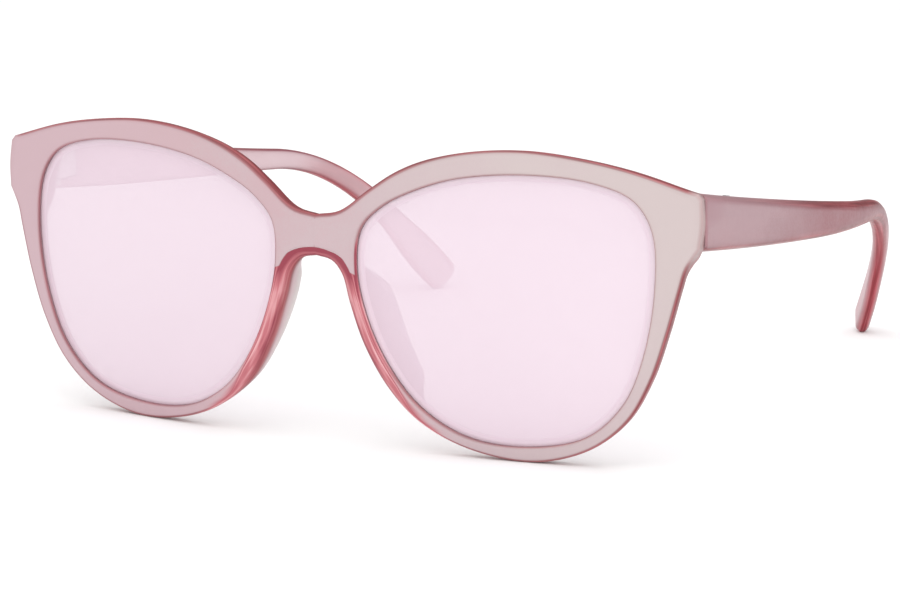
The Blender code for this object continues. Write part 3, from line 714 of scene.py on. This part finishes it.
def build_lens(label, side, mat):
    """Curved lens whose bevelled edge sits in the groove of the rim."""
    middle = Vector(OPENING_MIDDLE)
    places = evenly(spline(OPENING, True), LENS_STATIONS, True)
    count = len(places)
    normals = [outward(places[i - 1], places[(i + 1) % count], middle, places[i])
               for i in range(count)]
    near = GROOVE_FRONT + GAP
    far = GROOVE_BACK - GAP
    rows = []
    for share in LENS_RINGS:
        rows.append([(middle.lerp(place, share), near) for place in places])
    reach = GROOVE_DEEP - GAP
    tip = [place + normal * reach for place, normal in zip(places, normals)]
    rows.append([(place, near + GROOVE_TAPER) for place in tip])
    rows.append([(place, far - GROOVE_TAPER) for place in tip])
    for share in reversed(LENS_RINGS):
        rows.append([(middle.lerp(place, share), far) for place in places])
    bm = bmesh.new()
    paint = Painter(bm)

    def vertex(place, depth):
        return bm.verts.new(on_front(Vector((mirrored(place.x, side), place.y)), depth))

    skin = [[vertex(place, depth) for place, depth in row] for row in rows]
    tints = [LENS_TINT] * (len(LENS_RINGS) - 2) + [1.0] + [0.0] * (len(LENS_RINGS) + 2)
    shares = (*LENS_RINGS, 1.0, 1.0, *reversed(LENS_RINGS))
    for j, tint in enumerate(tints):
        for i in range(count):
            m = (i + 1) % count
            corners = (skin[j][i], skin[j][m], skin[j + 1][m], skin[j + 1][i])
            ways = ((shares[j], 0.0), (shares[j], 0.0), (shares[j + 1], 0.0), (shares[j + 1], 0.0))
            paint.face(corners, [(tint, 0.0)] * 4, ways)
    for row, depth, tint in ((skin[0], near, LENS_TINT), (skin[-1], far, 0.0)):
        hub = vertex(middle, depth)
        for i in range(count):
            corners = (row[i], row[(i + 1) % count], hub)
            paint.face(corners, [(tint, 0.0)] * 3, [(0.0, 0.0)] * 3)
    lens = new_object("lens_curve_" + label, bm)
    finish_piece(lens, mat, "lens_" + label, "front")


# ---------------------------------------------------------------- temples

def temple_path():
    """Stations along the temple: (distance, x, y, z, pitch, yaw)."""
    total = SHAFT_LENGTH + BEND_RADIUS * BEND_ANGLE + TIP_LENGTH
    count = int(round(total / TEMPLE_STEP))
    step = total / (count * PATH_FINE)
    x, y, z = TEMPLE_START
    stations = []
    for i in range(count * PATH_FINE + 1):
        s = i * step
        pitch = TEMPLE_PITCH + TEMPLE_EASE * min(s, SHAFT_LENGTH)
        into_bend = min(max(s - SHAFT_LENGTH, 0.0), BEND_RADIUS * BEND_ANGLE)
        pitch -= into_bend / BEND_RADIUS
        bowed = max(s - BOW_FROM, 0.0)
        yaw = math.atan(2.0 * BOW * bowed)
        if i % PATH_FINE == 0:
            stations.append((s, x - BOW * bowed * bowed, y, z, pitch, yaw))
        y += step * math.cos(pitch)
        z += step * math.sin(pitch)
    return stations


def temple_section(s, total):
    """Section of the temple as vectors of out, up, tone and glow; out is away from the head."""
    height = table_value([(row[0], row[1]) for row in TEMPLE_SECTIONS], s)
    flat = table_value([(row[0], row[2]) for row in TEMPLE_SECTIONS], s)
    thin = ramp(s, (BOW_FROM, total))
    t = 0.5 * (TEMPLE_THICK + (TIP_THICK - TEMPLE_THICK) * thin)
    h = 0.5 * height
    soft = INNER_SOFT[0] + (INNER_SOFT[1] - INNER_SOFT[0]) * thin
    upper = [(out * t, h - drop * h * (1.0 - flat)) for out, drop in OUTER_CURVE]
    upper += [(out * t, up * h) for out, up in CROWN]
    upper += [(soft * t - t, INNER_CROWN * h), (-t, h - INNER_CORNER * soft * h - GAP)]
    lower = [(out, -up) for out, up in reversed(upper)]
    core = ramp(s, CORE_ZONE)
    deep = TOP_TONE + (1.0 - TOP_TONE) * ramp(s, TOP_ZONE)
    shares = [deep] * len(TEMPLE_TONES) + [1.0] * len(TEMPLE_TONES)
    tones = [tone * share * (1.0 - CORE_PALE * core) if tone > 0.0 else tone
             for tone, share in zip(TEMPLE_TONES + TEMPLE_TONES[::-1], shares)]
    glows = [core * glow for glow in CORE_GLOW + CORE_GLOW[::-1]]
    bend = ramp(s, BEND_ZONES[0]) * ramp(s, BEND_ZONES[1])
    for k, glow in enumerate(BEND_GLOW, len(CORE_GLOW)):
        glows[k] = max(glows[k], bend * glow)
    section = [Vector((*place, tone, glow))
               for place, tone, glow in zip(upper + lower, tones, glows)]
    return soften(soften(section, TEMPLE_CORNER_CUT), CORNER_CUT)


def temple_rings(side):
    """Distance, world places and shades of each section, from the mitre to the rounded end."""
    stations = temple_path()
    total = stations[-1][0]
    pivot = pivot_place(side)
    rings = []
    for s, x, y, z, pitch, yaw in stations:
        along = Vector((-math.sin(yaw), math.cos(yaw) * math.cos(pitch), math.sin(pitch)))
        out = Vector((math.cos(yaw), math.sin(yaw), 0.0))
        up = out.cross(along).normalized()
        places = []
        shades = []
        for side_way, rise, tone, glow in temple_section(s, total):
            place = Vector((x, y, z)) + out * side_way + up * rise
            places.append(to_world(mirrored(place.x, side), place.y, place.z))
            shades.append((tone, glow))
        rings.append((s, places, shades))
    kept = [ring for ring in rings if ring[0] == 0.0 or ring[0] > MITRE_CLEAR]
    first, second = kept[0][1], kept[1][1]
    for i, corner in enumerate(first):
        beyond = abs(corner.x) - PIVOT[0] * MM
        mitre_y = pivot.y - beyond * math.tan(MITRE_ANGLE) + 0.5 * SEAM_GAP * MM
        run = (mitre_y - corner.y) / (second[i].y - corner.y)
        first[i] = corner.lerp(second[i], run)
    bevel = [corner.lerp(after, MITRE_BEVEL) for corner, after in zip(first, second)]
    shades = kept[0][2]
    kept.insert(1, (MITRE_BEVEL * kept[1][0], bevel, shades))
    for i, corner in enumerate(first):
        outwards = (abs(corner.x) / MM - INNER_FACE) / TEMPLE_THICK
        inset = MITRE_INSET * ramp(outwards, MITRE_INSET_ZONE)
        back = inset * math.tan(MITRE_ANGLE)
        first[i] = corner + Vector((mirrored(-inset, side), back, 0.0)) * MM
    edge = [(max(tone, MITRE_EDGE_TONE) if tone >= 0.0 else tone, glow) for tone, glow in shades]
    kept[0] = (0.0, first, edge)
    last = kept[-1][1]
    middle = sum(last, Vector()) / len(last)
    ahead = (middle - sum(kept[-2][1], Vector()) / len(last)).normalized()
    for share, forward in TIP_CAP:
        places = [middle.lerp(place, share) + ahead * (forward * MM) for place in last]
        kept.append((total + forward, places, kept[-1][2]))
    return kept


def build_temple(label, side, mat):
    rings = temple_rings(side)
    bm = bmesh.new()
    paint = Painter(bm)
    skin = [[bm.verts.new(place) for place in places] for _, places, _ in rings]
    count = len(skin[0])
    for i in range(len(skin) - 1):
        run, _, shades = rings[i]
        next_run, _, next_shades = rings[i + 1]
        for k in range(count):
            m = (k + 1) % count
            tones = (shades[k], shades[m], next_shades[m], next_shades[k])
            ways = ((run, k / count), (run, (k + 1) / count),
                    (next_run, (k + 1) / count), (next_run, k / count))
            paint.face((skin[i][k], skin[i][m], skin[i + 1][m], skin[i + 1][k]), tones, ways)
    # the flat end is painted pale: painted light against the shade in the seam
    paint.face(skin[0], [(MITRE_TONE, 0.0)] * count, [(0.0, 0.5)] * count)
    paint.face(skin[-1], rings[-1][2], [(rings[-1][0], 0.5)] * count)
    keep_in_box(bm)
    temple = new_object("temple_arm_" + label, bm)
    cut_away(temple, [temple_pocket_tool(side)])
    finish_piece(temple, mat, "temple_" + label, label + "_temple")


# ---------------------------------------------------------------- material tools

def texture_coordinate(tree, output):
    return tree.nodes.new("ShaderNodeTexCoord").outputs[output]


def uv(tree, layer):
    made = tree.nodes.new("ShaderNodeUVMap")
    made.uv_map = layer
    return made.outputs["UV"]


def split(tree, source):
    made = tree.nodes.new("ShaderNodeSeparateXYZ")
    tree.links.new(source, made.inputs["Vector"])
    return made.outputs


def noise(tree, vector, scale, detail, rough):
    made = tree.nodes.new("ShaderNodeTexNoise")
    made.inputs["Scale"].default_value = scale
    made.inputs["Detail"].default_value = detail
    made.inputs["Roughness"].default_value = rough
    tree.links.new(vector, made.inputs["Vector"])
    return made.outputs["Fac"]


def reflection_streaks(tree):
    """Noise drawn out along the rim or the temple: painted internal reflections, lighter and darker
    lines in the plastic.
    """
    stretch = tree.nodes.new("ShaderNodeMapping")
    stretch.inputs["Scale"].default_value = REFLECTION_STREAK_SCALE
    tree.links.new(uv(tree, "way"), stretch.inputs["Vector"])
    return noise(tree, stretch.outputs["Vector"], *REFLECTION_STREAKS)


def colour_ramp(tree, source, stops):
    made = tree.nodes.new("ShaderNodeValToRGB")
    elements = made.color_ramp.elements
    for element, (position, colour) in zip(elements, (stops[0], stops[-1])):
        element.position = position
        element.color = (*colour, 1.0)
    for position, colour in stops[1:-1]:
        elements.new(position).color = (*colour, 1.0)
    tree.links.new(source, made.inputs["Fac"])
    return made.outputs["Color"]


def spread(tree, source, start, end, low, high, way="LINEAR"):
    """Maps start..end of a value to low..high, held at both ends."""
    made = tree.nodes.new("ShaderNodeMapRange")
    made.interpolation_type = way
    for name, value in (("From Min", start), ("From Max", end), ("To Min", low), ("To Max", high)):
        made.inputs[name].default_value = value
    tree.links.new(source, made.inputs["Value"])
    return made.outputs["Result"]


def smooth_gate(tree, source, start, end):
    """1 below start, 0 above end of a value."""
    return spread(tree, source, start, end, 1.0, 0.0, "SMOOTHSTEP")


def calculate(tree, operation, *values):
    made = tree.nodes.new("ShaderNodeMath")
    made.operation = operation
    for socket, value in zip(made.inputs, values):
        if isinstance(value, float):
            socket.default_value = value
        else:
            tree.links.new(value, socket)
    return made.outputs["Value"]


def mix(tree, factor, first, second):
    made = tree.nodes.new("ShaderNodeMix")
    made.data_type = "RGBA"
    colours = [socket for socket in made.inputs if socket.type == "RGBA"]
    tree.links.new(factor, made.inputs["Factor"])
    tree.links.new(first, colours[0])
    tree.links.new(second, colours[1])
    return next(socket for socket in made.outputs if socket.type == "RGBA")


def bump(tree, source, strength, distance):
    made = tree.nodes.new("ShaderNodeBump")
    made.inputs["Strength"].default_value = strength
    made.inputs["Distance"].default_value = distance
    tree.links.new(source, made.inputs["Height"])
    return made.outputs["Normal"]


def new_material(name):
    mat = bpy.data.materials.new(name)
    mat.use_nodes = True
    tree = mat.node_tree
    return mat, tree, tree.nodes["Principled BSDF"]


# ---------------------------------------------------------------- materials

# noises: scale, detail, roughness
PLASTIC_CLOUDS = (60.0, 4.0, 0.55)
PLASTIC_GRAIN = (2400.0, 2.0, 0.6)
PLASTIC_FINE = (900.0, 3.0, 0.6)
PLASTIC_SKIN = (260.0, 2.0, 0.5)
# the next noise draws painted internal reflections along the rim and the temple
REFLECTION_STREAKS = (1.0, 3.0, 0.55)
LENS_CLOUDS = (22.0, 2.0, 0.4)
LENS_FINE = (700.0, 2.0, 0.5)
FLOOR_CLOUDS = (3.0, 2.0, 0.5)
STEEL_GRAIN = (5.0, 0.65)      # detail, roughness
LEAF_SCALE = 1500.0
SCREW_SCALE = 2200.0
REFLECTION_STREAK_SCALE = (0.05, 16.0, 1.0)    # per mm along, per turn round the section

CLOUD_WEIGHT = 0.45            # how far clouds and grain shift the pale colour
GRAIN_WEIGHT = 0.2
NOISE_SPAN = (0.3, 0.7)        # most values of a noise lie between these
PLASTIC_ROUGHNESS = (0.28, 0.38)
PLASTIC_BUMP = (0.06, 0.0002)  # strength, distance in metres
LENS_ROUGHNESS = (0.05, 0.09)
LENS_ALPHA = (0.1, 0.96)       # clear glass, full tint
STEEL_ROUGHNESS = (0.2, 0.38)
STEEL_BUMP = (0.15, 0.00005)
FRONT_SIDEWAYS = 6.0           # change of the painted light and shade per metre
FRONT_UPWARDS = 4.0
FRONT_MIDDLE = (0.5, 0.042)    # its value at x = 0 at this height (m)
TEMPLE_SHARE = 0.0068          # 1/mm, about one over the length of a temple

# colour stops
DEEP = [(0.34, (0.15, 0.011, 0.016)), (0.5, (0.24, 0.030, 0.037)), (0.66, (0.37, 0.085, 0.095))]
# the lightest stop of the nose glow is a painted highlight
NOSE_GLOW = [(0.34, (0.29, 0.035, 0.06)), (0.5, (0.54, 0.16, 0.185)),
             (0.64, (0.76, 0.405, 0.42))]
CORE_RED = [(0.33, (0.20, 0.007, 0.014)), (0.5, (0.30, 0.022, 0.035)),
            (0.66, (0.46, 0.10, 0.12))]
# pale front faces, read along the painted light and shade of the front: pinker and darker at the
# low end
FRONT_PALE = [(0.15, (0.55, 0.385, 0.42)), (0.38, (0.545, 0.378, 0.404)),
              (0.52, (0.54, 0.418, 0.438)), (0.85, (0.56, 0.47, 0.465))]
# painted light: the back faces of the pads are painted pale for the light through the clear plastic
PAD_PALE = [(0.2, (0.53, 0.47, 0.46)), (0.8, (0.61, 0.56, 0.545))]
TEMPLE_PALE = [(0.136, (0.385, 0.24, 0.265)), (0.313, (0.325, 0.17, 0.19)),
               (0.483, (0.27, 0.085, 0.105)), (0.68, (0.21, 0.05, 0.07)),
               (0.86, (0.50, 0.32, 0.34))]
# painted light: the inner faces of the temples are painted pale for the light through the clear
# plastic
TEMPLE_BACK = [(0.2, (0.58, 0.42, 0.45)), (0.8, (0.66, 0.51, 0.535))]
LENS_PINK = [(0.3, (0.725, 0.58, 0.665)), (0.7, (0.74, 0.595, 0.68))]
# painted light: the paler pink of the lens edge, against the shade of the rim
LENS_PAINTED_LIGHT_PINK = [(0.3, (0.87, 0.73, 0.81)), (0.7, (0.89, 0.75, 0.83))]
LEAF_STEEL = [(0.3, (0.66, 0.65, 0.65)), (0.7, (0.80, 0.79, 0.78))]
SCREW_STEEL = [(0.3, (0.58, 0.58, 0.59)), (0.7, (0.74, 0.74, 0.74))]
FLOOR_WHITE = [(0.3, (0.89, 0.89, 0.89)), (0.7, (0.91, 0.91, 0.91))]


def front_painted_light(tree):
    """0 low on the outer right, 1 high on the outer left: painted light and shade, pinker and
    darker low on the outer right, greyer and paler high on the outer left.
    """
    place = split(tree, texture_coordinate(tree, "Object"))
    sideways = calculate(tree, "MULTIPLY_ADD", place["X"], FRONT_SIDEWAYS, FRONT_MIDDLE[0])
    above = calculate(tree, "SUBTRACT", place["Z"], FRONT_MIDDLE[1])
    return calculate(tree, "MULTIPLY_ADD", above, FRONT_UPWARDS, sideways)


def along_temple(tree):
    """0 at the hinge, about 1 at the tip."""
    place = split(tree, uv(tree, "way"))
    return calculate(tree, "MULTIPLY", place["X"], TEMPLE_SHARE)


def above_brow(tree):
    """Height (m) above the sloping line where the bridge ends and the nose rims begin."""
    place = split(tree, texture_coordinate(tree, "Object"))
    beside = calculate(tree, "ABSOLUTE", place["X"])
    line = calculate(tree, "MULTIPLY_ADD", beside, GLOW_BROW_SLOPE, (GROUND + GLOW_BROW) * MM)
    return calculate(tree, "SUBTRACT", place["Z"], line)


def nose_glow(tree, painted_reflections, painted):
    """Glow and its colour value below the bridge: it ends sharply and is deepest at its root."""
    above = above_brow(tree)
    roll = spread(tree, split(tree, uv(tree, "tone"))["X"], *GLOW_ROLL, 0.0, 1.0)
    below = calculate(tree, "MAXIMUM", roll, smooth_gate(tree, above, -GLOW_EDGE * MM, 0.0))
    root = spread(tree, above, -GLOW_ROOT * MM, 0.0, 0.0, GLOW_ROOT_SHIFT)
    return calculate(tree, "MULTIPLY", painted, below), calculate(tree, "ADD", painted_reflections, root)


def core_glow(_tree, painted_reflections, painted):
    """Glow and its colour value in a temple: as painted."""
    return painted, painted_reflections


def plastic_material(name, share, pale, back, glow, glowing):
    """Milky pink plastic whose colour follows the painted edge tone and glow.

    pale, back and glow are colour stops: of the faces, read at share, of the clear back faces,
    painted pale for the light through them, and of the places where the light has come a long way
    through the plastic.
    """
    mat, tree, shader = new_material(name)
    tone = split(tree, uv(tree, "tone"))
    place = texture_coordinate(tree, "Object")
    clouds = noise(tree, place, *PLASTIC_CLOUDS)
    grain = noise(tree, place, *PLASTIC_GRAIN)
    # on the front, share is painted light and shade; clouds and grain add tone that differs at
    # random
    pale_share = share(tree)
    for source, weight in ((clouds, CLOUD_WEIGHT), (grain, GRAIN_WEIGHT)):
        shift = calculate(tree, "SUBTRACT", source, 0.5)
        pale_share = calculate(tree, "MULTIPLY_ADD", shift, weight, pale_share)
    # painted internal reflections: lighter and darker lines in the deep edges and the glow
    painted_reflections = reflection_streaks(tree)
    # back faces, with tones below 0, are painted pale: painted light through the clear plastic
    clear = calculate(tree, "MULTIPLY", tone["X"], -1.0)
    colour = mix(tree, clear, colour_ramp(tree, pale_share, pale), colour_ramp(tree, clouds, back))
    colour = mix(tree, tone["X"], colour, colour_ramp(tree, painted_reflections, DEEP))
    amount, painted_reflections = glowing(tree, painted_reflections, tone["Y"])
    colour = mix(tree, amount, colour, colour_ramp(tree, painted_reflections, glow))
    tree.links.new(colour, shader.inputs["Base Color"])
    fine = noise(tree, place, *PLASTIC_FINE)
    rough = spread(tree, fine, *NOISE_SPAN, *PLASTIC_ROUGHNESS)
    tree.links.new(rough, shader.inputs["Roughness"])
    skin = noise(tree, place, *PLASTIC_SKIN)
    tree.links.new(bump(tree, skin, *PLASTIC_BUMP), shader.inputs["Normal"])
    shader.inputs["IOR"].default_value = 1.46
    return mat


def lens_material():
    """Pale pink flash tint on the front of a clear lens; it hides most of what is behind."""
    mat, tree, shader = new_material("lens_flash_tint")
    place = texture_coordinate(tree, "Object")
    tone = split(tree, uv(tree, "tone"))
    clouds = noise(tree, place, *LENS_CLOUDS)
    # the edge of each lens is painted paler, as painted light against the shade of the rim
    inside = smooth_gate(tree, split(tree, uv(tree, "way"))["X"], *LENS_PAINTED_LIGHT_ZONE)
    colour = mix(tree, inside, colour_ramp(tree, clouds, LENS_PAINTED_LIGHT_PINK),
                 colour_ramp(tree, clouds, LENS_PINK))
    tree.links.new(colour, shader.inputs["Base Color"])
    fine = noise(tree, place, *LENS_FINE)
    rough = spread(tree, fine, *NOISE_SPAN, *LENS_ROUGHNESS)
    tree.links.new(rough, shader.inputs["Roughness"])
    tree.links.new(spread(tree, tone["X"], 0.0, 1.0, *LENS_ALPHA), shader.inputs["Alpha"])
    shader.inputs["IOR"].default_value = 1.5
    shader.inputs["Coat Weight"].default_value = 0.3
    shader.inputs["Coat Roughness"].default_value = 0.03
    return mat


def steel_material(name, stops, scale):
    """Nickel plated steel with fine tumbling marks."""
    mat, tree, shader = new_material(name)
    grain = noise(tree, texture_coordinate(tree, "Object"), scale, *STEEL_GRAIN)
    tree.links.new(colour_ramp(tree, grain, stops), shader.inputs["Base Color"])
    rough = spread(tree, grain, *NOISE_SPAN, *STEEL_ROUGHNESS)
    tree.links.new(rough, shader.inputs["Roughness"])
    tree.links.new(bump(tree, grain, *STEEL_BUMP), shader.inputs["Normal"])
    shader.inputs["Metallic"].default_value = 1.0
    return mat


def floor_material():
    mat, tree, shader = new_material("studio_floor")
    clouds = noise(tree, texture_coordinate(tree, "Object"), *FLOOR_CLOUDS)
    tree.links.new(colour_ramp(tree, clouds, FLOOR_WHITE), shader.inputs["Base Color"])
    shader.inputs["Roughness"].default_value = 0.9
    shader.inputs["Specular IOR Level"].default_value = 0.1
    return mat


def dress_hinges():
    """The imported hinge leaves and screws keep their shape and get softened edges."""
    leaf_steel = steel_material("hinge_plate_steel", LEAF_STEEL, LEAF_SCALE)
    screw_steel = steel_material("screw_head_steel", SCREW_STEEL, SCREW_SCALE)
    for name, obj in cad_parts.items():
        if "hinge" not in name:
            continue
        obj.data.materials.clear()
        obj.data.materials.append(screw_steel if name.startswith("hinge_screw") else leaf_steel)
        edge = obj.modifiers.new("soft_edges", "BEVEL")
        edge.width = HINGE_EDGE * MM
        edge.segments = 2
        edge.limit_method = "ANGLE"
        edge.angle_limit = HINGE_EDGE_ANGLE


# ---------------------------------------------------------------- studio

def add_area(name, place, aim, size, power):
    light = bpy.data.lights.new(name, "AREA")
    light.shape = "RECTANGLE"
    light.size = size[0]
    light.size_y = size[1]
    light.energy = power
    obj = bpy.data.objects.new(name, light)
    obj.location = place
    obj.rotation_euler = (Vector(aim) - Vector(place)).to_track_quat("-Z", "Y").to_euler()
    bpy.context.scene.collection.objects.link(obj)


def build_backdrop(tree):
    """White studio that reflects darker low behind the glasses, so that edges stay deep."""
    axes = split(tree, texture_coordinate(tree, "Generated"))
    behind = calculate(tree, "SUBTRACT", 1.0, smooth_gate(tree, axes["Y"], *DARK_BEHIND))
    dark = calculate(tree, "MULTIPLY", behind, smooth_gate(tree, axes["Z"], *DARK_BELOW))
    mirrored_ray = tree.nodes.new("ShaderNodeLightPath").outputs["Is Glossy Ray"]
    dark = calculate(tree, "MULTIPLY", dark, mirrored_ray)
    back = tree.nodes["Background"]
    back.inputs["Color"].default_value = (1.0, 1.0, 1.0, 1.0)
    strength = calculate(tree, "MULTIPLY_ADD", dark, -DARKNESS, WHITENESS)
    tree.links.new(strength, back.inputs["Strength"])


def build_studio():
    bm = bmesh.new()
    bmesh.ops.create_grid(bm, x_segments=1, y_segments=1, size=FLOOR_SIZE)
    bmesh.ops.translate(bm, verts=bm.verts, vec=(0.0, 0.0, -FLOOR_DROP))
    floor = new_object("floor", bm)
    floor.data.materials.append(floor_material())
    world = bpy.data.worlds.new("studio")
    world.use_nodes = True
    build_backdrop(world.node_tree)
    bpy.context.scene.world = world
    for softbox in SOFTBOXES:
        add_area(*softbox)
    bpy.context.scene.view_settings.view_transform = "Standard"


def build_camera():
    data = bpy.data.cameras.new("camera")
    data.lens = CAMERA_LENS
    data.sensor_width = 36.0
    data.clip_start = 0.01
    data.clip_end = 20.0
    camera = bpy.data.objects.new("camera", data)
    place = Vector(CAMERA_PLACE)
    turn = (Vector(CAMERA_AIM) - place).to_track_quat("-Z", "Y").to_matrix().to_4x4()
    camera.matrix_world = (Matrix.Translation(place) @ turn
                           @ Matrix.Rotation(-CAMERA_ROLL, 4, "Z"))
    bpy.context.scene.collection.objects.link(camera)
    bpy.context.scene.camera = camera


def build():
    front_plastic = plastic_material("front_plastic", front_painted_light, FRONT_PALE, PAD_PALE,
                                     NOSE_GLOW, nose_glow)
    arm_plastic = plastic_material("arm_plastic", along_temple, TEMPLE_PALE, TEMPLE_BACK,
                                   CORE_RED, core_glow)
    lens_tint = lens_material()
    build_front(front_plastic)
    for side, label in SIDES:
        build_lens(label, side, lens_tint)
        build_temple(label, side, arm_plastic)
    dress_hinges()
    build_studio()
    build_camera()


build()
